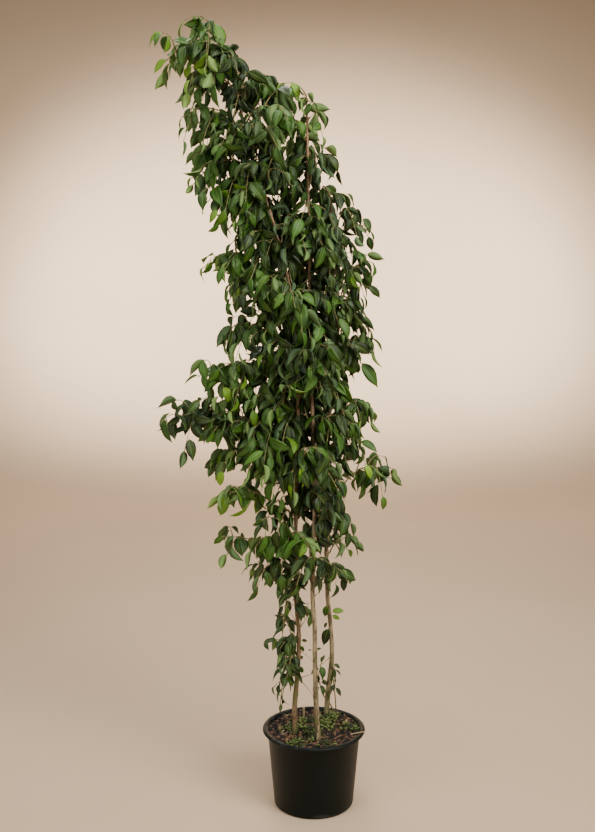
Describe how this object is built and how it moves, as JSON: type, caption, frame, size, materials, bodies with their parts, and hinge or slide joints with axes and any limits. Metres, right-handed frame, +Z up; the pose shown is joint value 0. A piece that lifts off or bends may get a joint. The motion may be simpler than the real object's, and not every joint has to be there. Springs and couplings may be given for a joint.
{
  "type": "potted ficus",
  "caption": "Tall slender weeping fig with bare stems and arching leafy sprays, growing in a round nursery pot of soil.",
  "frame": {"origin": "middle of the pot's flat underside, where it rests", "axes": "+Z up along the plant's height, -Y towards the front of the picture, +X to its right"},
  "size_m": [0.8051, 0.4676, 2.5524],
  "materials": {
    "pot": "black satin moulded plastic",
    "soil": "damp bark and peat compost",
    "bark": "smooth tan-grey fig bark",
    "leaf": "glossy green leaf"
  },
  "bodies": {
    "root": {"pot": "pot", "soil": "soil", "spray_bough_left": "leaf", "spray_bough_left_low": "leaf", "spray_bough_right": "leaf", "spray_crest_right": "leaf", "spray_curtain_left": "leaf", "spray_hanging_lower": "leaf", "spray_hanging_upper": "leaf", "spray_left_01": "leaf", "spray_left_02": "leaf", "spray_left_03": "leaf", "spray_left_04": "leaf", "spray_left_05": "leaf", "spray_left_06": "leaf", "spray_left_07": "leaf", "spray_left_08": "leaf", "spray_left_09": "leaf", "spray_left_10": "leaf", "spray_left_cluster_lower": "leaf", "spray_left_cluster_middle": "leaf", "spray_left_cluster_upper": "leaf", "spray_left_low": "leaf", "spray_left_whip": "leaf", "spray_middle_01": "leaf", "spray_middle_02": "leaf", "spray_middle_03": "leaf", "spray_middle_04": "leaf", "spray_middle_05": "leaf", "spray_middle_06": "leaf", "spray_middle_07": "leaf", "spray_middle_08": "leaf", "spray_middle_09": "leaf", "spray_middle_10": "leaf", "spray_plume_left": "leaf", "spray_plume_low": "leaf", "spray_plume_right": "leaf", "spray_plume_top": "leaf", "spray_right_01": "leaf", "spray_right_02": "leaf", "spray_right_03": "leaf", "spray_right_04": "leaf", "spray_right_05": "leaf", "spray_right_06": "leaf", "spray_right_07": "leaf", "spray_right_08": "leaf", "spray_right_low": "leaf", "spray_right_middle": "leaf", "spray_right_shoulder": "leaf", "spray_right_upper": "leaf", "spray_shoulder_left": "leaf", "spray_tip_middle": "leaf", "spray_tip_middle_left": "leaf", "spray_tip_right": "leaf", "stem_left": "bark", "stem_middle": "bark", "stem_right": "bark", "stub": "bark", "sucker_middle": "leaf", "sucker_right": "leaf"}
  },
  "joints": []
}
